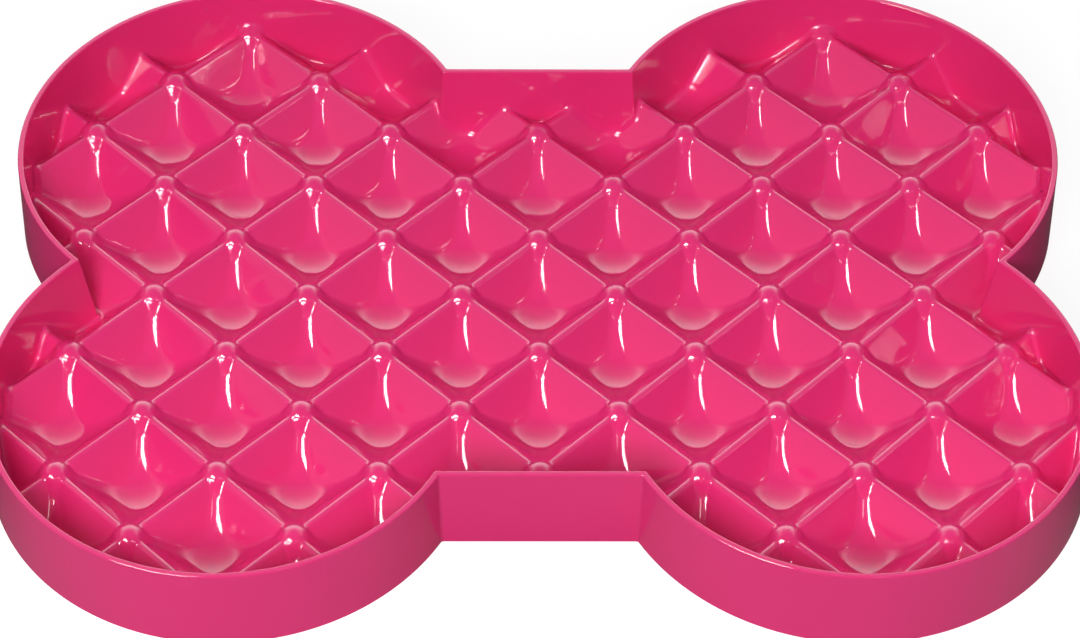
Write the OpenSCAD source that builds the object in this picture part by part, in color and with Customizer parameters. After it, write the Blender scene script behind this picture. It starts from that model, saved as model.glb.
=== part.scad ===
// Bone-shaped slow-feeding lick tray: a rigid moulded tray with a tall rim and a quilted floor of
// pits, level ridges and domed nubs, standing on four rubber feet pressed in from below.
// The moulding is drawn as its rim wall and seven stretches of floor that meet face to face.
// Heights in the moulding count from the lower edge of its skirt, which the feet lift off the ground.

/* [Outline] */
// Outer radius of each round lobe, at the foot of the skirt
lobe_r = 64.8; // [62:0.1:67]
// Sideways distance of the lobe centres from the middle of the tray
lobe_x = 82.3; // [78:0.1:90]
// Front-to-back distance of the lobe centres from the middle of the tray
lobe_y = 45.3; // [42:0.1:48]
// Distance of the straight webs from the middle of the tray, at the foot of the skirt
web_y = 76.9; // [72:0.1:82]

/* [Rim wall] */
// Height of the skirt from its lower edge to the top of the rim
rim_h = 26.4; // [22:0.1:34]
// Thickness of the wall at the top of the rim
rim_t = 1.6; // [1.2:0.1:2.4]
// How far the outer face leans out from the rim down to its lower edge
skirt_flare = 0.9; // [0:0.1:2]
// How far the inner face leans in from the rim down to the lower edge
inner_draft = 2.5; // [0.5:0.1:3.5]
// Size of the chamfers on both edges of the rim
rim_edge = 0.45; // [0.2:0.05:0.55]

/* [Quilted floor] */
// Distance between neighbouring ridges, which run both ways at 45 degrees
cell = 30; // [26:0.5:34]
// Height of the ridges
ridge_h = 12.7; // [10:0.1:15]
// Width of the level top of a ridge
ridge_w = 2.4; // [1.6:0.1:4]
// Height of the level ring round the bottom of a well
well_h = 3.3; // [3:0.1:5]
// Width of the square bottom of a well
well_w = 9.2; // [8:0.1:12]
// Depth of the round dish in the bottom of a well
dish_depth = 0.8; // [0.4:0.1:1]
// Thickness of the floor's sloping walls and of the bottoms under the dishes
floor_t = 2.0; // [1.6:0.1:2.2]

/* [Nubs] */
// Height of a nub above the ridges that cross under it
nub_h = 2.2; // [1.2:0.1:3.5]
// Radius of a nub's domed tip
nub_tip_r = 3.7; // [2.5:0.1:4.5]
// Radius of a nub where its flanks run out into the wells
nub_base_r = 7.2; // [5:0.1:7.5]

/* [Feet] */
// Radius of a rubber foot
foot_r = 6.0; // [5:0.1:7]
// How far a foot stands out below the skirt
foot_proud = 0.8; // [0.5:0.1:2]
// Depth of the socket that a foot is pressed into
socket_depth = 1.2; // [0.8:0.1:1.3]
// Thickness of the round wall of a socket
socket_t = 1.3; // [1:0.1:2]
// Gap between a foot and the wall of its socket
foot_gap = 0.05; // [0.02:0.01:0.1]
// Size of the chamfer on the ground edge of a foot
foot_edge = 0.4; // [0.2:0.05:0.5]

/* [Hidden] */
$fn = 96;
// Overrun that keeps every cut clear of the face that it opens
over = 1;
// Distance between neighbouring nubs from left to right, the diagonal of a cell
pitch = cell * sqrt(2);
// Rise and run of a well's sloping wall, and its length up the slope
wall_rise = ridge_h - well_h;
wall_run = (cell - ridge_w - well_w) / 2;
wall_len = norm([wall_rise, wall_run]);
// Height of the underside of a well, and how far the underside's slopes lie outside the well's
cup_h = well_h - dish_depth - floor_t;
cup_offset = floor_t * wall_len / wall_rise;
// Height of the crease under a ridge where the undersides of two wells meet
crease_h = well_h + (cell / 2 - well_w / 2 - cup_offset) * wall_rise / wall_run;
// Radius of the dish, nearly as wide as the well's bottom, and of the ball that forms it
dish_share = 0.96;
dish_r = dish_share * well_w / 2;
dish_ball_r = (dish_r * dish_r + dish_depth * dish_depth) / (2 * dish_depth);
// Top of the nubs, and the height at which their flanks end inside the floor
nub_top = ridge_h + nub_h;
nub_foot_h = (ridge_h + well_h) / 2;
// Angle above the level at which a flank touches the ball of its tip, and the place where it does
nub_reach = nub_top - nub_tip_r - nub_foot_h;
nub_span = norm([nub_reach, nub_base_r]);
nub_lean = acos(nub_tip_r / nub_span) - atan2(nub_reach, nub_base_r);
nub_tan_r = nub_tip_r * cos(nub_lean);
nub_tan_h = nub_top - nub_tip_r + nub_tip_r * sin(nub_lean);
// The cuts between the stretches of floor fall halfway between two columns of nubs
inner_cut_x = (pitch / 2 + pitch) / 2;
lobe_cut_x = inner_cut_x + pitch;
end_cut_x = lobe_cut_x + pitch;
// Rows of cells needed to cover the tray along a diagonal
reach = lobe_x + lobe_y + lobe_r;
rows = ceil(reach / cell);
// Feet sit under the wells nearest to the lobe centres
foot_x = pitch * round(lobe_x / pitch);
foot_y = pitch * round(lobe_y / pitch);
// Turn that keeps the points where a socket's circles start off the creases between the cups
seam_turn = 20;
pink = [0.89, 0.16, 0.41];
rubber = [0.72, 0.72, 0.70];

// How far the wall's outer and inner faces lie inside the outline at a height
function outer_inset(z) = skirt_flare * z / rim_h;
function inner_inset(z) = skirt_flare + rim_t + inner_draft * (1 - z / rim_h);
// True where a point lies in the outline
function in_bone(p) =
    (abs(p.x) <= lobe_x && abs(p.y) <= web_y)
    || norm([abs(p.x) - lobe_x, abs(p.y) - lobe_y]) <= lobe_r;
// A place in the tray from its place along the two diagonals
function on_tray(u, v) = [(u + v) / sqrt(2), (u - v) / sqrt(2)];

// Solid bone with level ends at z0 and z1, its outline drawn in by the insets given for them
module bone(inset0, z0, inset1, z1) {
    for (sx = [-1, 1], sy = [-1, 1])
        translate([sx * lobe_x, sy * lobe_y, z0])
            cylinder(h = z1 - z0, r1 = lobe_r - inset0, r2 = lobe_r - inset1);
    w0 = web_y - inset0;
    w1 = web_y - inset1;
    translate([-lobe_x, 0, 0])
        rotate([90, 0, 90])
            linear_extrude(2 * lobe_x)
                polygon([[-w0, z0], [w0, z0], [w1, z1], [-w1, z1]]);
}

// Ring between the outer and the inner face. Two further bones with faces at 45 degrees chamfer it
module rim_wall() {
    outer_edge = outer_inset(rim_h) + rim_edge;
    inner_edge = inner_inset(rim_h) - rim_edge;
    color(pink)
        translate([0, 0, foot_proud])
            difference() {
                intersection() {
                    bone(outer_inset(0), 0, outer_inset(rim_h), rim_h);
                    bone(outer_edge - rim_h - over, -over, outer_edge + over, rim_h + over);
                }
                bone(inner_inset(-over), -over, inner_inset(rim_h + over), rim_h + over);
                bone(inner_edge + over, rim_h - over, inner_edge - over, rim_h + over);
            }
}

// Long solid along one diagonal whose section across it is given, with side = 1 or -1
module along_diagonal(side) {
    rotate([0, 0, side * 45])
        translate([-reach, 0, 0])
            rotate([90, 0, 90])
                linear_extrude(2 * reach)
                    children();
}

// Grooves with sloping sides that leave the ridges of one direction standing between them
module well_grooves(side) {
    top_z = ridge_h + over;
    top_w = well_w / 2 + (top_z - well_h) * wall_run / wall_rise;
    along_diagonal(side)
        for (i = [-rows : rows])
            translate([i * cell, 0])
                polygon([[-top_w, top_z], [-well_w / 2, well_h], [well_w / 2, well_h], [top_w, top_z]]);
}

// Everything above the underside of the wells of one direction, as high as the nubs
module above_cups(side) {
    half_w = well_w / 2 + cup_offset - (well_h - cup_h) * wall_run / wall_rise;
    teeth = [for (i = [-rows : rows]) each [
        [i * cell - cell / 2, crease_h],
        [i * cell - half_w, cup_h],
        [i * cell + half_w, cup_h]]];
    last = rows * cell + cell / 2;
    along_diagonal(side)
        polygon(concat(teeth, [[last, crease_h], [last, nub_top + over], [-last, nub_top + over]]));
}

// Domed nub on its lattice point, with flanks that run out into the four wells round it
module nub() {
    translate([0, 0, nub_top - nub_tip_r])
        sphere(r = nub_tip_r);
    translate([0, 0, nub_foot_h])
        cylinder(h = nub_tan_h - nub_foot_h, r1 = nub_base_r, r2 = nub_tan_r);
}

// Cut for the dish in the bottom of a well, kept clear of the well's sloping walls
module dish() {
    intersection() {
        translate([0, 0, well_h - dish_depth + dish_ball_r])
            sphere(r = dish_ball_r);
        cylinder(h = well_h + over, r = (dish_r + well_w / 2) / 2);
    }
}

// One child at every well from x0 to x1, or at every crossing of ridges where shift is half a cell
module on_lattice(shift, x0, x1) {
    for (i = [-rows : rows], j = [-rows : rows]) {
        place = on_tray(i * cell + shift, j * cell + shift);
        if (in_bone(place) && place.x > x0 - nub_base_r && place.x < x1 + nub_base_r)
            translate(place)
                children();
    }
}

// One child at each of the four feet
module at_feet() {
    for (sx = [-1, 1], sy = [-1, 1])
        translate([sx * foot_x, sy * foot_y, 0])
            rotate([0, 0, seam_turn])
                children();
}

// Shell of cups and ridges from x0 to x1 with the feet's sockets, before it is trimmed to the wall
module quilt(x0, x1) {
    difference() {
        union() {
            intersection() {
                translate([x0, -reach, cup_h])
                    cube([x1 - x0, 2 * reach, ridge_h - cup_h]);
                above_cups(1);
                above_cups(-1);
            }
            at_feet()
                cylinder(h = well_h, r = foot_r + foot_gap + socket_t);
        }
        intersection() {
            well_grooves(1);
            well_grooves(-1);
        }
        on_lattice(0, x0, x1)
            dish();
        at_feet()
            translate([0, 0, -over])
                cylinder(h = over + socket_depth, r = foot_r + foot_gap);
    }
    intersection() {
        on_lattice(cell / 2, x0, x1)
            nub();
        above_cups(1);
        above_cups(-1);
    }
}

// Stretch of the quilted floor from x0 to x1, trimmed to the inner face of the rim wall
module floor_stretch(x0, x1) {
    top_z = nub_top + over;
    color(pink)
        translate([0, 0, foot_proud])
            intersection() {
                bone(inner_inset(0), 0, inner_inset(top_z), top_z);
                translate([x0, -reach, 0])
                    cube([x1 - x0, 2 * reach, top_z]);
                quilt(x0, x1);
            }
}

module foot(sx, sy) {
    color(rubber)
        translate([sx * foot_x, sy * foot_y, 0]) {
            cylinder(h = foot_edge, r1 = foot_r - foot_edge, r2 = foot_r);
            translate([0, 0, foot_edge])
                cylinder(h = foot_proud + socket_depth - foot_edge, r = foot_r);
        }
}

rim_wall();
floor_stretch(-inner_cut_x, inner_cut_x);  // floor_middle
floor_stretch(-lobe_cut_x, -inner_cut_x);  // floor_left_inner
floor_stretch(-end_cut_x, -lobe_cut_x);  // floor_left_lobe
floor_stretch(-reach, -end_cut_x);  // floor_left_end
floor_stretch(inner_cut_x, lobe_cut_x);  // floor_right_inner
floor_stretch(lobe_cut_x, end_cut_x);  // floor_right_lobe
floor_stretch(end_cut_x, reach);  // floor_right_end
foot(-1, -1);  // foot_front_left
foot(1, -1);  // foot_front_right
foot(-1, 1);  // foot_back_left
foot(1, 1);  // foot_back_right
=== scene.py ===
"""Looks of the bone-shaped lick tray: its rim wall, quilted floor and feet, their finishes and the studio.

Shapes are worked out in millimetres, with heights from the lower edge of the tray's skirt, and are turned
into metres above the ground when a mesh is made.
"""
import math

import bpy
import numpy as np
from mathutils import Matrix, Vector


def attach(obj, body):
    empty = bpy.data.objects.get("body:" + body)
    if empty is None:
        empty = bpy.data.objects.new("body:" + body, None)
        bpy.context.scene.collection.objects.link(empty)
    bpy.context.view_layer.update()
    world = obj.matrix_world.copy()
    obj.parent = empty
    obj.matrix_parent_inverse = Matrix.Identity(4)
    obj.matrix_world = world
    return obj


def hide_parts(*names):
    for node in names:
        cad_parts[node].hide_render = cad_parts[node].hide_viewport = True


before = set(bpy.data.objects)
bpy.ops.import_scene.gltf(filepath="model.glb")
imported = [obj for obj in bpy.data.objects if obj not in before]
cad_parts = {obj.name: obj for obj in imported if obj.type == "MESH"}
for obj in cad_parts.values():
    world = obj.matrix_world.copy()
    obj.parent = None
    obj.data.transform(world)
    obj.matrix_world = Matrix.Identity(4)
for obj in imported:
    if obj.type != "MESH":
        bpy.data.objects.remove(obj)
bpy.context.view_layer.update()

# Sizes of the moulding, as in the part's source
MM = 0.001
FOOT_PROUD = 0.8
LOBE_R, LOBE_X, LOBE_Y, WEB_Y = 64.8, 82.3, 45.3, 76.9
RIM_H, RIM_T, SKIRT_FLARE, INNER_DRAFT = 26.4, 1.6, 0.9, 2.5
CELL, WELL_H, DISH_DEPTH, FLOOR_T = 30.0, 3.3, 0.8, 2.0
PITCH = CELL * math.sqrt(2)
FOOT_X, FOOT_Y, FOOT_R, FOOT_GAP = 2 * PITCH, PITCH, 6.0, 0.05
SOCKET_DEPTH, SOCKET_T = 1.2, 1.3

# Roundings of the wall that the solids leave out, and the angle at which the round at its foot meets it
RIM_ROUND, SKIRT_ROUND, WALL_FOOT_ROUND = 0.45, 0.5, 1.9
WALL_FOOT_TURN = math.radians(84.6)
OUTER_CORNER, INNER_CORNER = 1.0, 0.6

# Soft forms of the quilt. A crease has its full width a little below the crest and grows with the depth.
DISH_LOW, DISH_R, BOWL_BLEND = 2.7, 22.0, 1.6
SLOPE, CREST_H, CROWN_R = 1.2, 13.25, 1.5
CREASE_BLEND, CREASE_LEAST, CREASE_FULL_AT, CREASE_LAST_AT, CREASE_GROWTH = 4.1, 0.3, 4.0, 12.0, 0.075
NUB_TOP, NUB_R, NUB_LEAN, NUB_BLEND = 15.0, 4.7, math.radians(58), 1.0

# Soft forms of the underside: the corners of its cups, the arch under a ridge and the level bottom of a cup
WELL_CORNER = 1.6
ARCH_DROP, ARCH_BLEND, CUP_BLEND = 0.6, 1.6, 1.0

# How finely the pieces are divided: the floor's grid and its reach, the turned feet and sockets, the wall's section
# and the outline along half a web, the round in its corner, a lobe and half the round in the notch
STEP = PITCH / 80
HALF_WIDTH = 110
FOOT_SIDES, SOCKET_SIDES = 64, 72
SKIRT_ROWS, RIM_ROWS, OUTER_ROWS, INNER_ROWS, RIM_TOP_ROWS, SKIRT_EDGE_ROWS = 5, 7, 12, 14, 1, 2
OUTLINE_POINTS = (20, 8, 150, 6)

# A number that keeps a quotient or a comparison safe
TINY = 1e-9


def outer_inset(z):
    """How far the outer face lies inside the outline of the skirt's foot at a height."""
    return SKIRT_FLARE * z / RIM_H


def inner_inset(z):
    """How far the inner face lies inside the outline of the skirt's foot at a height."""
    return SKIRT_FLARE + RIM_T + INNER_DRAFT * (1 - z / RIM_H)


def corner_centres(inset, corner):
    """Middles of the small rounds in the web's corner and in the notch, and the radius of a lobe and half the
    width across the webs. A round of radius c touches a lobe of radius R from outside, so its middle lies
    R + c from the lobe's middle; the web's lies c outside the web's line, and the notch's on the long axis."""
    ring, web = LOBE_R - inset, WEB_Y - inset
    web_mid_y = web + corner
    web_mid_x = LOBE_X - np.sqrt((ring + corner) ** 2 - (web_mid_y - LOBE_Y) ** 2)
    notch_mid_x = LOBE_X + np.sqrt((ring + corner) ** 2 - LOBE_Y ** 2)
    return ring, web, web_mid_x, web_mid_y, notch_mid_x


def bone_rings(inset, corner):
    """Closed outlines of the bone, one for each inset: half a web as a line, the round in its corner as an arc,
    the lobe as an arc, and half the round in the notch as an arc, then the same mirrored into the other
    quarters. Returns the points and the outward directions, each as [outline, place, 2]."""
    inset, corner = np.asarray(inset, float)[:, None], np.asarray(corner, float)[:, None]
    ring, web, ax, ay, bx = corner_centres(inset, corner)
    n_web, n_corner, n_lobe, n_notch = OUTLINE_POINTS
    zero = np.zeros_like(inset)
    share = np.linspace(0, 1, n_web, endpoint=False)[None]
    line = np.stack([ax * share, web + zero * share], -1)
    line_out = np.stack([zero * share, 1 + zero * share], -1)

    def arc(mid_x, mid_y, radius, start, stop, count, side, last=False):
        turn = start + (stop - start) * np.linspace(0, 1, count, endpoint=last)[None]
        out = np.stack([np.cos(turn), np.sin(turn)], -1)
        return np.stack([mid_x + zero, mid_y + zero], -1) + radius[..., None] * out, side * out

    web_end = np.arctan2(LOBE_Y - ay, LOBE_X - ax)
    notch_start = np.arctan2(LOBE_Y + zero, LOBE_X - bx)
    parts = [(line, line_out),
             arc(ax, ay, corner, -np.pi / 2 + zero, web_end, n_corner, -1),
             arc(LOBE_X, LOBE_Y, ring, web_end + np.pi, notch_start - np.pi, n_lobe, 1),
             arc(bx, 0, corner, notch_start, np.pi + zero, n_notch, -1, last=True)]
    quarter, out = (np.concatenate([part[k] for part in parts], 1) for k in (0, 1))

    def whole(values):
        lower = values[:, ::-1] * [1, -1]
        left = (values * [-1, 1])[:, ::-1]
        lower_left = values * [-1, -1]
        return np.concatenate([values[:, :-1], lower[:, :-1], lower_left[:, :-1], left[:, :-1]], 1)

    return whole(quarter), whole(out)


def depth_inside(x, y, inset):
    """Distance from points in the tray to an outline, and the direction towards its nearest place. Each line or
    arc of the outline counts for the points that face it squarely, and the nearest of those is taken."""
    corner = INNER_CORNER
    sx, sy = np.where(x < 0, -1.0, 1.0), np.where(y < 0, -1.0, 1.0)
    px, py = np.abs(x), np.abs(y)
    ring, web, ax, ay, bx = corner_centres(inset + np.zeros_like(px), corner)
    web_end = np.arctan2(LOBE_Y - ay, LOBE_X - ax)
    notch_start = np.arctan2(LOBE_Y, LOBE_X - bx)
    lx, ly = px - LOBE_X, py - LOBE_Y
    lobe_d, lobe_a = np.hypot(lx, ly), np.arctan2(ly, lx)
    lobe_a = np.where(lobe_a < notch_start - np.pi - TINY, lobe_a + 2 * np.pi, lobe_a)
    web_d, web_a = np.hypot(px - ax, py - ay), np.arctan2(py - ay, px - ax)
    notch_d, notch_a = np.hypot(px - bx, py), np.arctan2(py, px - bx)
    far = 1e6
    choices = np.stack([
        np.where(px <= ax, web - py, far),
        np.where((web_a >= -np.pi / 2) & (web_a <= web_end), web_d - corner, far),
        np.where((lobe_a <= web_end + np.pi) & (lobe_a >= notch_start - np.pi), ring - lobe_d, far),
        np.where(notch_a >= notch_start, notch_d - corner, far)])
    pick = np.argmin(np.abs(choices), 0)
    depth = np.take_along_axis(choices, pick[None], 0)[0]
    out_x = np.choose(pick, [np.zeros_like(px), (ax - px) / (web_d + TINY), lx / (lobe_d + TINY),
                             (bx - px) / (notch_d + TINY)])
    out_y = np.choose(pick, [np.ones_like(px), (ay - py) / (web_d + TINY), ly / (lobe_d + TINY),
                             -py / (notch_d + TINY)])
    return depth, out_x * sx, out_y * sy


def rounded_square(a, b, corner):
    """Half width of the square that passes through a point and has corners of the given radius. Beside a corner
    its arc has its middle at (q, q), and q comes from the circle's equation; a square smaller than its corners
    is a circle."""
    big, small = np.maximum(a, b), np.minimum(a, b)
    q = (big + small - np.sqrt(np.maximum(2 * corner ** 2 - (big - small) ** 2, 0))) / 2
    half = np.where(small <= big - corner, big, q + corner)
    return np.where((small > big - corner) & (q < 0), np.hypot(big, small), half)


def cell_place(x, y):
    """Distances of points from the middle of their well along both diagonals."""
    u, v = (x + y) / math.sqrt(2), (x - y) / math.sqrt(2)
    return np.abs(u - CELL * np.round(u / CELL)), np.abs(v - CELL * np.round(v / CELL))


def smooth_max(a, b, width):
    """The larger of two heights, with a parabola of the given width where they cross."""
    gap = np.maximum(width - np.abs(a - b), 0)
    return np.maximum(a, b) + gap ** 2 / (4 * width)


LEAN = math.atan(SLOPE)
WALL_LINE = CREST_H + CROWN_R * (1 / math.cos(LEAN) - 1)


def wall_height(across):
    """Height of a well's wall by the distance from the well's middle: a leaning line that turns into a round
    crown, which is tangent to it and highest at the crest."""
    from_crest = np.clip(CELL / 2 - across, 0, None)
    crown = CREST_H - CROWN_R + np.sqrt(np.maximum(CROWN_R ** 2 - from_crest ** 2, 0))
    return np.where(from_crest < CROWN_R * math.sin(LEAN), crown, WALL_LINE - SLOPE * from_crest)


def floor_top(x, y):
    """Height of the quilted floor. In a well it is the highest of a shallow dish, a paraboloid, and the leaning
    walls of both directions, with a soft crease where two walls meet, narrow at the crest and wider towards the
    bottom, and a soft turn into the dish. A nub with a ball for its tip and a cone for its flank is blended in
    where it is the higher."""
    a, b = cell_place(x, y)
    from_crest = CELL / 2 - np.maximum(a, b)
    growth = CREASE_GROWTH * np.clip(from_crest - CREASE_FULL_AT, 0, CREASE_LAST_AT - CREASE_FULL_AT)
    share = np.clip(from_crest / CREASE_FULL_AT, CREASE_LEAST, 1) + growth
    walls = smooth_max(wall_height(a), wall_height(b), CREASE_BLEND * share)
    quilt = smooth_max(walls, DISH_LOW + (a ** 2 + b ** 2) / (2 * DISH_R), BOWL_BLEND)
    r = np.hypot(CELL / 2 - a, CELL / 2 - b)
    tip = NUB_TOP - NUB_R + np.sqrt(np.maximum(NUB_R ** 2 - r ** 2, 0))
    edge_r, edge_z = NUB_R * math.sin(NUB_LEAN), NUB_TOP - NUB_R * (1 - math.cos(NUB_LEAN))
    nub = np.where(r < edge_r, tip, edge_z - math.tan(NUB_LEAN) * (r - edge_r))
    return smooth_max(quilt, nub, NUB_BLEND)


def floor_under(x, y):
    """Height of the floor's underside: the walls again, lower by the floor's thickness square to them, with
    level cups below and round creases above, and a level bottom over each socket of a foot."""
    a, b = cell_place(x, y)
    half = rounded_square(a, b, WELL_CORNER + FLOOR_T)
    wall = WALL_LINE - SLOPE * (CELL / 2 - half) - FLOOR_T / math.cos(LEAN)
    cup, arch = WELL_H - DISH_DEPTH - FLOOR_T, CREST_H - FLOOR_T - ARCH_DROP
    under = smooth_max(-smooth_max(-wall, -arch, ARCH_BLEND), cup, CUP_BLEND)
    from_foot = np.hypot(np.abs(x) - FOOT_X, np.abs(y) - FOOT_Y)
    return np.where(from_foot < FOOT_R + SOCKET_T / 2, np.maximum(under, SOCKET_DEPTH), under)


def unit(vectors):
    return vectors / np.linalg.norm(vectors, axis=-1, keepdims=True)


def surface_normals(height, x, y, reach=0.04):
    """Upward normals of a height function, from the heights a little to each side."""
    dx = (height(x + reach, y) - height(x - reach, y)) / (2 * reach)
    dy = (height(x, y + reach) - height(x, y - reach)) / (2 * reach)
    return unit(np.stack([-dx, -dy, np.ones_like(dx)], -1))


def make_piece(name, points, faces, material, normals=None):
    """Mesh object from points in millimetres and arrays of three- or four-cornered faces. Normals, where given,
    are one for each corner of each face in turn, and a zero leaves a corner's normal to the mesh."""
    mesh = bpy.data.meshes.new(name)
    mesh.vertices.add(len(points))
    mesh.vertices.foreach_set("co", ((points + [0, 0, FOOT_PROUD]) * MM).astype(np.float32).ravel())
    corners = np.concatenate([f.ravel() for f in faces]).astype(np.int32)
    sizes = np.concatenate([np.full(len(f), f.shape[1]) for f in faces]).astype(np.int32)
    mesh.loops.add(len(corners))
    mesh.loops.foreach_set("vertex_index", corners)
    mesh.polygons.add(len(sizes))
    mesh.polygons.foreach_set("loop_start", np.concatenate([[0], np.cumsum(sizes)[:-1]]).astype(np.int32))
    mesh.polygons.foreach_set("use_smooth", np.ones(len(sizes), bool))
    mesh.update(calc_edges=True)
    if normals is not None:
        mesh.normals_split_custom_set(normals.astype(np.float32))
    mesh.materials.append(material)
    piece = bpy.data.objects.new(name, mesh)
    bpy.context.scene.collection.objects.link(piece)
    return piece


def grid_faces(rows, columns, close_rows=True):
    """Four-cornered faces between neighbouring rows and columns of a grid of points, whose columns run round."""
    i = np.arange(rows if close_rows else rows - 1)[:, None]
    j = np.arange(columns)[None]
    i2, j2 = (i + 1) % rows, (j + 1) % columns
    return np.stack([i * columns + j, i * columns + j2, i2 * columns + j2, i2 * columns + j], -1).reshape(-1, 4)


def arc_rows(mid_out, mid_z, radius, start, stop, count):
    """Rows of a profile along an arc, as out, height and the two parts of the normal."""
    turn = np.radians(np.linspace(start, stop, count))
    out, up = np.cos(turn), np.sin(turn)
    return np.stack([mid_out + radius * out, mid_z + radius * up, out, up], -1)


def wall_profile():
    """Section of the rim wall, walked up its outer face, over the rim and down its inner face: two leaning
    lines joined by an arc at each of their four ends."""
    outer_lean = math.degrees(math.atan(SKIRT_FLARE / RIM_H))
    inner_lean = 180 - math.degrees(math.atan(INNER_DRAFT / RIM_H))

    def outer_mid(z, r):
        return -outer_inset(z) - r / math.cos(math.radians(outer_lean))

    def inner_mid(z, r):
        return -inner_inset(z) + r / math.cos(math.radians(180 - inner_lean))

    def straight(first, last, count):
        share = np.linspace(0, 1, count + 2)[1:-1, None]
        return first + (last - first) * share

    low_z, top_z = SKIRT_ROUND, RIM_H - RIM_ROUND
    low_out = arc_rows(outer_mid(low_z, SKIRT_ROUND), low_z, SKIRT_ROUND, -90, outer_lean, SKIRT_ROWS)
    top_out = arc_rows(outer_mid(top_z, RIM_ROUND), top_z, RIM_ROUND, outer_lean, 90, RIM_ROWS)
    top_in = arc_rows(inner_mid(top_z, RIM_ROUND), top_z, RIM_ROUND, 90, inner_lean, RIM_ROWS)
    low_in = arc_rows(inner_mid(low_z, SKIRT_ROUND), low_z, SKIRT_ROUND, inner_lean, 270, SKIRT_ROWS)
    return np.concatenate([
        low_out, straight(low_out[-1], top_out[0], OUTER_ROWS),
        top_out, straight(top_out[-1], top_in[0], RIM_TOP_ROWS),
        top_in, straight(top_in[-1], low_in[0], INNER_ROWS),
        low_in, straight(low_in[-1], low_out[0], SKIRT_EDGE_ROWS)])


def rim_wall(material):
    """The wall's section carried round the bone: each row of the section is an outline with its own inset, and
    its corner rounds go from the outer to the inner radius across the wall."""
    profile = wall_profile()
    across = np.clip((-profile[:, 0] - SKIRT_FLARE) / RIM_T, 0, 1)
    plan, out = bone_rings(-profile[:, 0], OUTER_CORNER + (INNER_CORNER - OUTER_CORNER) * across)
    rows, columns = plan.shape[:2]
    height = np.broadcast_to(profile[:, 1][:, None], (rows, columns))
    points = np.concatenate([plan, height[..., None]], -1).reshape(-1, 3)
    normals = unit(np.concatenate([out * profile[:, 2][:, None, None],
                                   np.broadcast_to(profile[:, 3][:, None, None], (rows, columns, 1))],
                                  -1)).reshape(-1, 3)
    faces = grid_faces(rows, columns)[:, ::-1]
    return make_piece("rim_wall_moulded", points, [faces], material, normals[faces.ravel()])


def clip_to_wall(plan, triangles):
    """Floor triangles cut off along the line where the round at the wall's foot begins. Points close to the line
    are first moved onto it; then each triangle that crosses it keeps its inner corners and gains a corner on
    each of its cut edges, which is found by halving. Returns plan points, triangles and marks of line points."""

    def beyond(p):
        depth, out_x, out_y = depth_inside(p[:, 0], p[:, 1], inner_inset(floor_top(p[:, 0], p[:, 1])))
        return depth - WALL_FOOT_ROUND, np.stack([out_x, out_y], -1)

    near_share, pulls, halvings = 0.3, 4, 24
    plan = plan.copy()
    gap, out = beyond(plan)
    near = np.abs(gap) < near_share * STEP
    for _ in range(pulls):
        plan[near] += out[near] * gap[near, None]
        gap[near], out[near] = beyond(plan[near])
    side = np.where(near, 0, np.sign(gap)).astype(int)
    corner_side = side[triangles]
    whole = triangles[(corner_side.min(1) >= 0) & (corner_side.max(1) > 0)]
    crossed = triangles[(corner_side.min(1) < 0) & (corner_side.max(1) > 0)]
    ends = crossed[:, [0, 1, 1, 2, 2, 0]].reshape(-1, 2)
    is_cut = side[ends[:, 0]] * side[ends[:, 1]] < 0
    pairs, back = np.unique(np.sort(ends[is_cut], 1), axis=0, return_inverse=True)
    inner = np.where(side[pairs[:, 0]] > 0, pairs[:, 0], pairs[:, 1])
    outer = pairs.sum(1) - inner
    low, high = np.zeros(len(pairs)), np.ones(len(pairs))
    for _ in range(halvings):
        middle = (low + high) / 2
        within = beyond(plan[inner] + (plan[outer] - plan[inner]) * middle[:, None])[0] > 0
        low, high = np.where(within, middle, low), np.where(within, high, middle)
    cuts = plan[inner] + (plan[outer] - plan[inner]) * low[:, None]
    cut_of_edge = np.full(len(ends), -1)
    cut_of_edge[is_cut] = len(plan) + back.ravel()
    slots = np.empty((len(crossed), 6), int)
    slots[:, 0::2], slots[:, 1::2] = crossed, cut_of_edge.reshape(-1, 3)
    kept = np.empty(slots.shape, bool)
    kept[:, 0::2], kept[:, 1::2] = side[crossed] >= 0, slots[:, 1::2] >= 0
    order = np.argsort(~kept, axis=1, kind="stable")
    walked = np.take_along_axis(slots, order, 1)
    four = kept.sum(1) == 4
    triangles = np.concatenate([whole, walked[:, :3], walked[four][:, [0, 2, 3]]])
    plan = np.concatenate([plan, cuts])
    on_line = np.concatenate([side == 0, np.ones(len(cuts), bool)])
    used, renumbered = np.unique(triangles, return_inverse=True)
    return plan[used], renumbered.reshape(-1, 3), on_line[used]


def open_edges(triangles):
    """Edges that belong to one triangle only, in that triangle's direction."""
    edges = np.concatenate([triangles[:, [0, 1]], triangles[:, [1, 2]], triangles[:, [2, 0]]])
    key = np.sort(edges, 1) @ np.array([1 << 32, 1])
    _, first, count = np.unique(key, return_index=True, return_counts=True)
    return edges[first[count == 1]]


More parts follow.
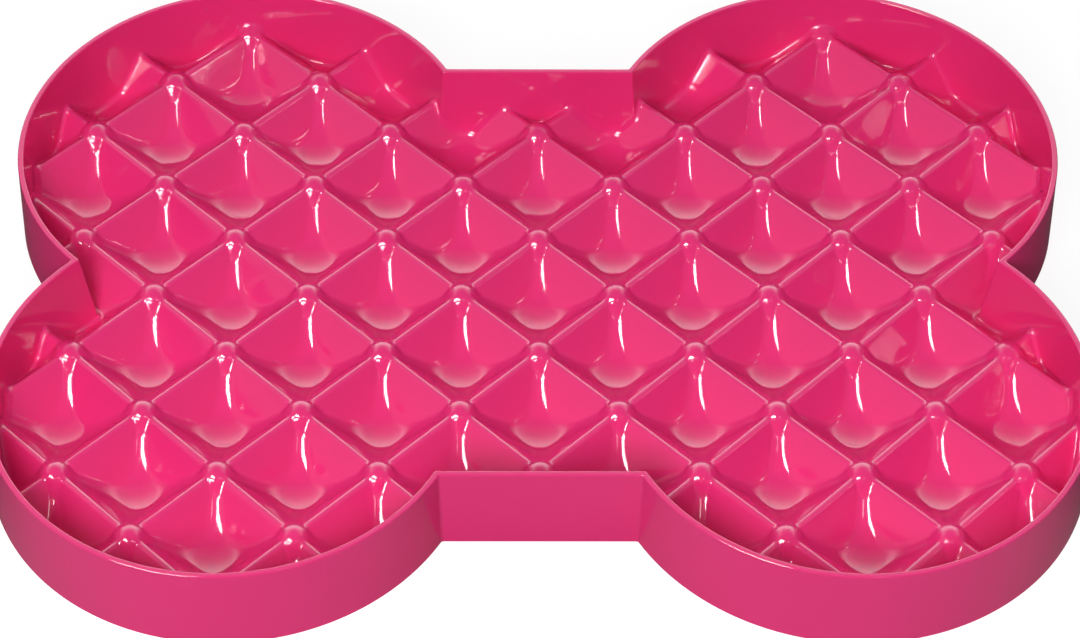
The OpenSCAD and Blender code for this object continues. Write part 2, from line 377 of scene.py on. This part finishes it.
def socket_ring(foot_x, foot_y):
    """Round wall of a foot's socket as a closed grid: its section goes down the outer side, over two small
    rounds at its lower edge and up the inner side, and its upper end follows the floor's underside and reaches a
    little into it."""
    turn = np.linspace(0, 2 * np.pi, SOCKET_SIDES, endpoint=False)[None]
    inner, outer = FOOT_R + FOOT_GAP, FOOT_R + FOOT_GAP + SOCKET_T
    edge, edge_rows = 0.3, 4
    bite, lowest, highest, inner_drop = 0.3, SOCKET_DEPTH + 0.4, 2.9, 0.2
    section = np.concatenate([arc_rows(outer - edge, edge, edge, 0, -90, edge_rows),
                              arc_rows(inner + edge, edge, edge, 270, 180, edge_rows)])
    top_x, top_y = foot_x + outer * np.cos(turn), foot_y + outer * np.sin(turn)
    top = np.clip(floor_under(top_x, top_y) + bite, lowest, highest)
    radius = np.concatenate([[outer], section[:, 0], [inner]])[:, None]
    height = np.concatenate([top, np.repeat(section[:, 1][:, None], turn.shape[1], 1), top - inner_drop])
    points = np.stack([foot_x + radius * np.cos(turn), foot_y + radius * np.sin(turn), height], -1)
    rows, columns = points.shape[:2]
    return points.reshape(-1, 3), grid_faces(rows, columns)[:, ::-1]


def floor_stretch(name, first, last, material, feet):
    """A stretch of floor between two planes, from grid column first to column last. Its top is a grid of points
    on the floor's height function, cut off near the wall and carried up the wall's foot by a quarter round. Its
    underside has the same points in plan, and a band closes the edge between them. Squares of the grid are
    halved along the nearer ridge."""
    half_rows = int(HALF_WIDTH / STEP) + 1
    i, j = np.arange(first, last + 1), np.arange(-half_rows, half_rows + 1)
    columns, rows = len(i), len(j)
    x, y = np.meshgrid(i * STEP, j * STEP)
    plan = np.stack([x.ravel(), y.ravel()], -1)
    base = (np.arange(rows - 1)[:, None] * columns + np.arange(columns - 1)[None]).ravel()
    corners = np.stack([base, base + 1, base + columns + 1, base + columns], -1)
    a, b = cell_place(*plan[corners].mean(1).T)
    falling = (a > b)[:, None]
    triangles = np.concatenate([
        np.where(falling, corners[:, [0, 1, 3]], corners[:, [0, 1, 2]]),
        np.where(falling, corners[:, [1, 2, 3]], corners[:, [0, 2, 3]])])
    plan, triangles, on_line = clip_to_wall(plan, triangles)
    top_z = floor_top(*plan.T)
    top_normals = surface_normals(floor_top, *plan.T)

    edges = open_edges(triangles)
    edges = edges[on_line[edges].all(1)]
    line = np.unique(edges)
    place = np.full(len(plan), -1)
    place[line] = np.arange(len(line))
    _, out_x, out_y = depth_inside(*plan[line].T, inner_inset(top_z[line]))
    out = np.stack([out_x, out_y], -1)
    steps, wall_bite = 6, 0.25
    strip_plan, strip_z, strip_normals = [], [], []
    for k in range(1, steps + 1):
        turn = WALL_FOOT_TURN * k / steps
        travel = (WALL_FOOT_ROUND + wall_bite) * math.sin(turn) / math.sin(WALL_FOOT_TURN)
        p = plan[line] + out * travel
        strip_plan.append(p)
        strip_z.append(floor_top(*p.T) + WALL_FOOT_ROUND * (1 - math.cos(turn)))
        level = surface_normals(floor_top, *p.T)
        strip_normals.append(unit(level * math.cos(turn)
                                  + np.concatenate([-out, np.zeros((len(out), 1))], 1) * math.sin(turn)))
    count = len(plan)
    starts = [line] + [count + len(line) * k + np.arange(len(line)) for k in range(steps)]
    strips = []
    for k in range(steps):
        near, far = starts[k], starts[k + 1]
        a0, b0, a1, b1 = (near[place[edges[:, 0]]], near[place[edges[:, 1]]],
                          far[place[edges[:, 0]]], far[place[edges[:, 1]]])
        strips += [np.stack([b0, a0, a1], -1), np.stack([b0, a1, b1], -1)]
    plan = np.concatenate([plan] + strip_plan)
    top_z = np.concatenate([top_z] + strip_z)
    top_normals = np.concatenate([top_normals] + strip_normals)
    top = np.concatenate([triangles] + strips)

    under_z = floor_under(*plan.T)
    under_normals = -surface_normals(floor_under, *plan.T, reach=0.15)
    count = len(plan)
    rim = open_edges(top)
    band = np.concatenate([np.stack([rim[:, 1], rim[:, 0], rim[:, 0] + count], -1),
                           np.stack([rim[:, 1], rim[:, 0] + count, rim[:, 1] + count], -1)])
    under = top[:, ::-1] + count
    points = np.concatenate([np.column_stack([plan, top_z]), np.column_stack([plan, under_z])])
    vertex_normals = np.concatenate([top_normals, under_normals])
    normals = [vertex_normals[top.ravel()], vertex_normals[under.ravel()], np.zeros((band.size, 3))]
    faces = [top, under, band]
    for foot_x, foot_y in feet:
        ring_points, ring_faces = socket_ring(foot_x, foot_y)
        faces.append(ring_faces + len(points))
        points = np.concatenate([points, ring_points])
        normals.append(np.zeros((ring_faces.size, 3)))
    return make_piece(name, points, faces, material, np.concatenate(normals))


def foot(name, foot_x, foot_y, material):
    """A rubber foot as a turned solid. Its section, as distance from the axis and height, goes out from the axis
    over a shallow dimple and a flat sole, round the ground edge, up the straight side and back to the axis."""
    low, high, axis = -FOOT_PROUD, SOCKET_DEPTH, 0.001
    edge, edge_rows, chamfer = 0.55, 7, 0.2
    dimple = [[axis, low + 0.25], [1.6, low + 0.25], [2.4, low + 0.18], [3.0, low + 0.03], [3.4, low]]
    ground_edge = arc_rows(FOOT_R - edge, low + edge, edge, -90, 0, edge_rows)[:, :2]
    side = [[FOOT_R, low + 1.2], [FOOT_R, high - chamfer], [FOOT_R - chamfer, high]]
    section = np.concatenate([dimple, [[4.6, low]], ground_edge, side, [[FOOT_R / 2, high], [axis, high]]])
    turn = np.linspace(0, 2 * np.pi, FOOT_SIDES, endpoint=False)
    points = np.stack([foot_x + section[:, :1] * np.cos(turn), foot_y + section[:, :1] * np.sin(turn),
                       np.repeat(section[:, 1:], len(turn), 1)], -1)
    rows, columns = points.shape[:2]
    faces = grid_faces(rows, columns, close_rows=False)
    ends = np.stack([np.arange(columns)[::-1], (rows - 1) * columns + np.arange(columns)])
    return make_piece(name, points.reshape(-1, 3), [faces, ends], material)


# Finishes


def math_node(tree, operation, *values, clamp=False):
    made = tree.nodes.new("ShaderNodeMath")
    made.operation, made.use_clamp = operation, clamp
    for socket, value in zip(made.inputs, values):
        if isinstance(value, bpy.types.NodeSocket):
            tree.links.new(value, socket)
        else:
            socket.default_value = value
    return made.outputs[0]


def plus(tree, first, second):
    return math_node(tree, "ADD", first, second)


def times(tree, first, second):
    return math_node(tree, "MULTIPLY", first, second)


def one_less(tree, value):
    return math_node(tree, "SUBTRACT", 1.0, value)


def new_group(name, inputs, outputs):
    """Node group with named inputs and outputs, and the sockets inside it that give and take their values."""
    group = bpy.data.node_groups.new(name, "ShaderNodeTree")
    for socket, kind, default in inputs:
        made = group.interface.new_socket(socket, in_out="INPUT", socket_type=kind)
        if default is not None:
            made.default_value = default
    for socket, kind in outputs:
        group.interface.new_socket(socket, in_out="OUTPUT", socket_type=kind)
    return group, group.nodes.new("NodeGroupInput").outputs, group.nodes.new("NodeGroupOutput").inputs


def moulding_marks():
    """Node group for what every moulded piece shows: a slight waviness of its faces, a drift of its colour, and
    fine scuffs. Waviness and drift are noise of two sizes, and scuffs are thin bands of stretched noise."""
    group, given, put = new_group("moulding_marks",
                                  [("Vector", "NodeSocketVector", None), ("Size", "NodeSocketFloat", 1.0)],
                                  [("Waviness", "NodeSocketFloat"), ("Drift", "NodeSocketFloat"),
                                   ("Scuffs", "NodeSocketFloat"), ("Grain", "NodeSocketFloat")])
    scaled = group.nodes.new("ShaderNodeVectorMath")
    scaled.operation = "SCALE"
    group.links.new(given["Vector"], scaled.inputs[0])
    group.links.new(given["Size"], scaled.inputs["Scale"])
    place = scaled.outputs[0]

    def noise(scale, detail, vector=place):
        made = group.nodes.new("ShaderNodeTexNoise")
        made.inputs["Scale"].default_value, made.inputs["Detail"].default_value = scale, detail
        group.links.new(vector, made.inputs["Vector"])
        return made.outputs["Fac"]

    def stretched(turn, stretch):
        made = group.nodes.new("ShaderNodeMapping")
        made.inputs["Rotation"].default_value = turn
        made.inputs["Scale"].default_value = stretch
        group.links.new(place, made.inputs["Vector"])
        return made.outputs["Vector"]

    broad_waves, small_waves, small_share = noise(90, 1), noise(260, 1), 0.25
    group.links.new(plus(group, broad_waves, times(group, small_waves, small_share)), put["Waviness"])
    group.links.new(noise(25, 2), put["Drift"])
    group.links.new(noise(2600, 2), put["Grain"])
    bands, half_band, patch_level = None, 0.006, 0.6
    for turn, stretch in (((0.3, 0.2, 0.5), (1, 14, 6)), ((0.1, 0.7, 2.1), (1, 16, 9))):
        off_middle = math_node(group, "SUBTRACT", noise(70, 1, stretched(turn, stretch)), 0.5)
        ridge = math_node(group, "ABSOLUTE", off_middle)
        band = one_less(group, math_node(group, "DIVIDE", ridge, half_band, clamp=True))
        patchy = times(group, band, math_node(group, "GREATER_THAN", noise(120, 1), patch_level))
        bands = patchy if bands is None else math_node(group, "MAXIMUM", bands, patchy)
    group.links.new(bands, put["Scuffs"])
    return group


def new_material(name):
    """Material with a Principled shader as its surface."""
    material = bpy.data.materials.new(name)
    material.use_nodes = True
    tree = material.node_tree
    tree.nodes.clear()
    shader = tree.nodes.new("ShaderNodeBsdfPrincipled")
    output = tree.nodes.new("ShaderNodeOutputMaterial")
    tree.links.new(shader.outputs[0], output.inputs["Surface"])
    return material, tree, shader


def place_marks(tree, group, size):
    """The marks group on a piece's own coordinates, and those coordinates."""
    place = tree.nodes.new("ShaderNodeTexCoord")
    marks = tree.nodes.new("ShaderNodeGroup")
    marks.node_tree = group
    marks.inputs["Size"].default_value = size
    tree.links.new(place.outputs["Object"], marks.inputs["Vector"])
    return marks.outputs, place.outputs["Object"]


def mix_colour(tree, factor, first, second):
    made = tree.nodes.new("ShaderNodeMix")
    made.data_type = "RGBA"
    tree.links.new(factor, made.inputs["Factor"])
    made.inputs["A"].default_value, made.inputs["B"].default_value = (*first, 1), (*second, 1)
    return made.outputs["Result"]


def bump_from(tree, height, strength, distance, shader):
    """Bump of a depth in metres, from a height that changes over the surface."""
    bump = tree.nodes.new("ShaderNodeBump")
    bump.inputs["Strength"].default_value, bump.inputs["Distance"].default_value = strength, distance
    tree.links.new(height, bump.inputs["Height"])
    tree.links.new(bump.outputs[0], shader.inputs["Normal"])


def foot_rings(tree, place):
    """Mask of a thin ring over each foot: the distance from the foot's middle, taken from the ring's radius."""
    ring_r, half_line = 3.65 * MM, 0.22 * MM
    split = tree.nodes.new("ShaderNodeSeparateXYZ")
    tree.links.new(place, split.inputs[0])
    along = math_node(tree, "SUBTRACT", math_node(tree, "ABSOLUTE", split.outputs["X"]), FOOT_X * MM)
    across = math_node(tree, "SUBTRACT", math_node(tree, "ABSOLUTE", split.outputs["Y"]), FOOT_Y * MM)
    radius = math_node(tree, "SQRT", plus(tree, times(tree, along, along), times(tree, across, across)))
    off_ring = math_node(tree, "ABSOLUTE", math_node(tree, "SUBTRACT", radius, ring_r))
    return one_less(tree, math_node(tree, "DIVIDE", off_ring, half_line, clamp=True))


def gloss_plastic(group):
    """Glossy magenta-pink moulding: two near shades drifting into each other, low roughness that rises in the
    scuffs, a slight waviness that makes reflections wander, and a faint ring over each foot."""
    deep_pink, light_pink = (0.77, 0.027, 0.180), (0.82, 0.033, 0.197)
    least_rough, drift_rough, scuff_rough = 0.055, 0.04, 0.12
    scuff_height, ring_height, bump_depth = -0.06, 0.25, 0.00005
    material, tree, shader = new_material("moulding_gloss")
    marks, place = place_marks(tree, group, 1.0)
    tree.links.new(mix_colour(tree, marks["Drift"], deep_pink, light_pink), shader.inputs["Base Color"])
    rough = plus(tree, times(tree, marks["Scuffs"], scuff_rough),
                 plus(tree, least_rough, times(tree, marks["Drift"], drift_rough)))
    tree.links.new(rough, shader.inputs["Roughness"])
    shader.inputs["IOR"].default_value = 1.5
    height = plus(tree, marks["Waviness"], plus(tree, times(tree, marks["Scuffs"], scuff_height),
                                                times(tree, foot_rings(tree, place), ring_height)))
    bump_from(tree, height, 1.0, bump_depth, shader)
    return material


def foot_rubber(group):
    """Matt grey rubber with a fine grain."""
    deep_grey, light_grey = (0.50, 0.50, 0.48), (0.58, 0.58, 0.56)
    least_rough, grain_rough, mark_size = 0.62, 0.2, 1.6
    grain_strength, bump_depth = 0.6, 0.00006
    material, tree, shader = new_material("foot_rubber")
    marks, _ = place_marks(tree, group, mark_size)
    tree.links.new(mix_colour(tree, marks["Drift"], deep_grey, light_grey), shader.inputs["Base Color"])
    rough = plus(tree, least_rough, times(tree, marks["Grain"], grain_rough))
    tree.links.new(rough, shader.inputs["Roughness"])
    bump_from(tree, marks["Grain"], grain_strength, bump_depth, shader)
    return material


# The object

marks_group = moulding_marks()
plastic = gloss_plastic(marks_group)
rubber = foot_rubber(marks_group)

wall = rim_wall(plastic)
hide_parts("rim_wall")
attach(wall, "root")

# Grid columns at which the stretches of floor meet, and one beyond the tray's ends
INNER_CUT, LOBE_CUT, END_CUT, FAR = 60, 140, 220, 280
STRETCHES = {"floor_middle": (-INNER_CUT, INNER_CUT), "floor_right_inner": (INNER_CUT, LOBE_CUT),
             "floor_right_lobe": (LOBE_CUT, END_CUT), "floor_right_end": (END_CUT, FAR),
             "floor_left_inner": (-LOBE_CUT, -INNER_CUT), "floor_left_lobe": (-END_CUT, -LOBE_CUT),
             "floor_left_end": (-FAR, -END_CUT)}
for stretch, (first, last) in STRETCHES.items():
    side = 1 if first > 0 else -1
    feet = [(side * FOOT_X, FOOT_Y), (side * FOOT_X, -FOOT_Y)] if "lobe" in stretch else []
    piece = floor_stretch(f"{stretch}_moulded", first, last, plastic, feet)
    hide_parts(stretch)
    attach(piece, "root")

for end, sy in (("front", -1), ("back", 1)):
    for hand, sx in (("left", -1), ("right", 1)):
        piece = foot(f"foot_{end}_{hand}_rubber", sx * FOOT_X, sy * FOOT_Y, rubber)
        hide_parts(f"foot_{end}_{hand}")
        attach(piece, "root")

# The studio

camera_data = bpy.data.cameras.new("camera")
camera = bpy.data.objects.new("camera", camera_data)
bpy.context.scene.collection.objects.link(camera)
bpy.context.scene.camera = camera

# The camera as it was fitted: focal length, middle and size of the picture in pixels, turns about the three
# axes, place in units of the nubs' spacing, and the height at which that place counts from zero
FOCAL, MID_X, MID_Y, WIDE, HIGH = 3287.7, 540.0, 319.0, 1080, 638
UNIT, UNIT_Z = 42.43, 9.23
SENSOR = 36
turn_x, turn_y, turn_z = 2.4022, -0.0089, 0.0013
world_to_view = (Matrix.Rotation(turn_z, 3, "Z") @ Matrix.Rotation(turn_y, 3, "Y")
                 @ Matrix.Rotation(turn_x, 3, "X"))
shift = Vector((-0.0085, -0.0911, 21.4258)) * UNIT * MM
centre = -(world_to_view.transposed() @ shift) + Vector((0, 0, UNIT_Z * MM))
flip = Matrix(((1, 0, 0), (0, -1, 0), (0, 0, -1)))
camera.matrix_world = Matrix.Translation(centre) @ (world_to_view.transposed() @ flip).to_4x4()
camera_data.sensor_width = SENSOR
camera_data.lens = FOCAL * SENSOR / WIDE
camera_data.shift_x = (WIDE / 2 - MID_X) / WIDE
camera_data.shift_y = (MID_Y - HIGH / 2) / WIDE
camera_data.clip_start, camera_data.clip_end = 0.05, 20


def fade(tree, value, low, high, start, stop):
    """Smooth step from start to stop while a value goes from low to high."""
    made = tree.nodes.new("ShaderNodeMapRange")
    made.interpolation_type = "SMOOTHSTEP"
    tree.links.new(value, made.inputs["Value"])
    for socket, number in zip(("From Min", "From Max", "To Min", "To Max"), (low, high, start, stop)):
        made.inputs[socket].default_value = number
    return made.outputs["Result"]


def split_place(tree, kind):
    """The three parts of a place or direction that the surface is given."""
    place = tree.nodes.new("ShaderNodeTexCoord")
    split = tree.nodes.new("ShaderNodeSeparateXYZ")
    tree.links.new(place.outputs[kind], split.inputs[0])
    return (split.outputs[axis] for axis in "XYZ")


def studio_floor():
    """A flat pale sheet with painted light: its grey, and the glow that gloss sees on it, are lighter in front of
    the tray, standing in for a floor lit in front and in shade at the sides and back, which the tray's skirt shows
    as a painted reflection. Rays from the camera and through glass get white on top of its lit grey, which keeps
    the object's shadow, and gloss gets a share of it. The sheet can be seen through from below and lets the lamp
    below it through."""
    half, drop = 3, 0.0005
    # Painted light: extra grey and extra glow in gloss in front of the tray, as if the floor were lit there
    grey_back, painted_light_grey_in_front, grey_lost_in_gloss = 0.16, 0.22, 0.8
    white_added, shine_back, painted_reflection_in_front = 0.88, 0.03, 0.25
    material, tree, shader = new_material("studio_floor")
    mesh = bpy.data.meshes.new("studio_floor")
    corners = [(-half, -half, -drop), (half, -half, -drop), (half, half, -drop), (-half, half, -drop)]
    mesh.from_pydata(corners, [], [(0, 1, 2, 3)])
    floor = bpy.data.objects.new("studio_floor", mesh)
    bpy.context.scene.collection.objects.link(floor)

    path = tree.nodes.new("ShaderNodeLightPath").outputs
    _, y, _ = split_place(tree, "Object")
    # Painted light and painted shade: the sheet is lighter in front of the tray and darker behind and to the sides,
    # by place
    front = fade(tree, y, -0.05, -0.11, 0.0, 1.0)
    grey = plus(tree, grey_back, times(tree, front, painted_light_grey_in_front))
    grey = times(tree, grey, one_less(tree, times(tree, path["Is Glossy Ray"], grey_lost_in_gloss)))
    tree.links.new(grey, shader.inputs["Base Color"])
    shader.inputs["Roughness"].default_value = 0.9
    shader.inputs["Specular IOR Level"].default_value = 0.0
    shader.inputs["Emission Color"].default_value = (1, 1, 1, 1)
    seen = math_node(tree, "MAXIMUM", path["Is Camera Ray"], path["Is Transmission Ray"])
    # Glow seen in gloss: the sheet's white, plus a painted reflection of a lit floor in front of the tray
    gloss_white_and_painted_reflection = plus(tree, shine_back, times(tree, front, painted_reflection_in_front))
    glow = math_node(tree, "MAXIMUM", times(tree, seen, white_added), times(tree, path["Is Glossy Ray"], gloss_white_and_painted_reflection))
    tree.links.new(glow, shader.inputs["Emission Strength"])

    output = next(node for node in tree.nodes if node.type == "OUTPUT_MATERIAL")
    clear = tree.nodes.new("ShaderNodeBsdfTransparent")
    face = tree.nodes.new("ShaderNodeNewGeometry")
    mix = tree.nodes.new("ShaderNodeMixShader")
    see_through = math_node(tree, "MAXIMUM", face.outputs["Backfacing"], path["Is Shadow Ray"])
    tree.links.new(see_through, mix.inputs[0])
    tree.links.new(shader.outputs[0], mix.inputs[1])
    tree.links.new(clear.outputs[0], mix.inputs[2])
    tree.links.new(mix.outputs[0], output.inputs["Surface"])
    mesh.materials.append(material)
    return floor


studio_floor()


LAMP_DISTANCE = 1.2


def softbox(name, azimuth, elevation, width, height, radiance, diffuse=True, glossy=True):
    """A rectangular lamp aimed at the tray from one distance, placed by azimuth from the front towards the right
    and elevation, with its size in metres. A lamp of power P and area A gives off a radiance of P over pi A."""
    data = bpy.data.lights.new(name, "AREA")
    data.shape, data.size, data.size_y = "RECTANGLE", width, height
    data.energy = radiance * math.pi * width * height
    lamp = bpy.data.objects.new(name, data)
    bpy.context.scene.collection.objects.link(lamp)
    side, up = math.radians(azimuth), math.radians(elevation)
    direction = Vector((math.sin(side) * math.cos(up), -math.cos(side) * math.cos(up), math.sin(up)))
    lamp.location = direction * LAMP_DISTANCE
    lamp.rotation_mode = "QUATERNION"
    lamp.rotation_quaternion = direction.to_track_quat("Z", "Y")
    lamp.visible_camera = False
    lamp.visible_diffuse, lamp.visible_glossy = diffuse, glossy
    return lamp


# The key lamp gives the soft light, and the others are only seen in the gloss, apart from the one below
softbox("key_lamp", -13, 41, 0.50, 0.50, radiance=13.2, glossy=False)
softbox("left_lamp_upper", -38, 48, 0.50, 0.24, radiance=34.0, diffuse=False)
softbox("left_lamp_lower", -34, 28, 0.48, 0.22, radiance=34.0, diffuse=False)
softbox("front_lamp", 19, 47, 0.12, 0.12, radiance=8.0, diffuse=False)
softbox("right_lamp", 79, 31, 0.04, 0.04, radiance=12.0, diffuse=False)
softbox("right_lamp_high", 88, 40, 0.04, 0.04, radiance=14.0, diffuse=False)
softbox("lamp_below", 0, -90, 0.40, 0.40, radiance=8.0)


def studio_world():
    """Surroundings by direction. Gloss sees a grey room, with a white backdrop behind that fades upwards and
    sideways, a paler left side, and darker places low beside the backdrop and low on the right. Soft light comes
    from a dim dome that grows brighter upwards. Rays from the camera and through glass see plain white."""
    world = bpy.data.worlds.new("studio")
    bpy.context.scene.world = world
    world.use_nodes = True
    tree = world.node_tree
    tree.nodes.clear()
    ceiling_grey = 0.24
    x, y, z = split_place(tree, "Generated")
    sideways = math_node(tree, "ABSOLUTE", x)

    rows = plus(tree, fade(tree, z, 0.98, 0.8, 0.0, 0.6), fade(tree, z, 0.84, 0.45, 0.0, 2.9))
    sheet = times(tree, fade(tree, y, 0.0, 0.25, 0.0, 1.0), fade(tree, sideways, 0.60, 0.84, 1.0, 0.0))
    left = fade(tree, x, -0.3, -0.8, 0.0, 0.32)
    low_back = times(tree, fade(tree, y, 0.0, 0.3, 0.0, 1.0), fade(tree, z, 0.7, 0.4, 0.0, 1.0))
    low_side = times(tree, low_back, fade(tree, sideways, 0.4, 0.7, 0.0, 0.85))
    low_right = times(tree, fade(tree, x, 0.3, 0.7, 0.0, 0.9), fade(tree, z, 0.40, 0.24, 0.0, 1.0))
    light_left = one_less(tree, math_node(tree, "MAXIMUM", low_side, low_right))
    grey = times(tree, plus(tree, plus(tree, times(tree, sheet, rows), left), ceiling_grey), light_left)

    path = tree.nodes.new("ShaderNodeLightPath").outputs
    soft = times(tree, path["Is Diffuse Ray"], fade(tree, z, 0.0, 0.8, 0.04, 0.37))
    shown = times(tree, grey, one_less(tree, path["Is Diffuse Ray"]))
    white = math_node(tree, "MAXIMUM", path["Is Camera Ray"], path["Is Transmission Ray"])
    strength = math_node(tree, "MAXIMUM", plus(tree, soft, shown), white)
    surround = tree.nodes.new("ShaderNodeBackground")
    surround.inputs["Color"].default_value = (1, 1, 1, 1)
    tree.links.new(strength, surround.inputs["Strength"])
    output = tree.nodes.new("ShaderNodeOutputWorld")
    tree.links.new(surround.outputs[0], output.inputs["Surface"])


studio_world()

bpy.context.scene.view_settings.view_transform = "Standard"
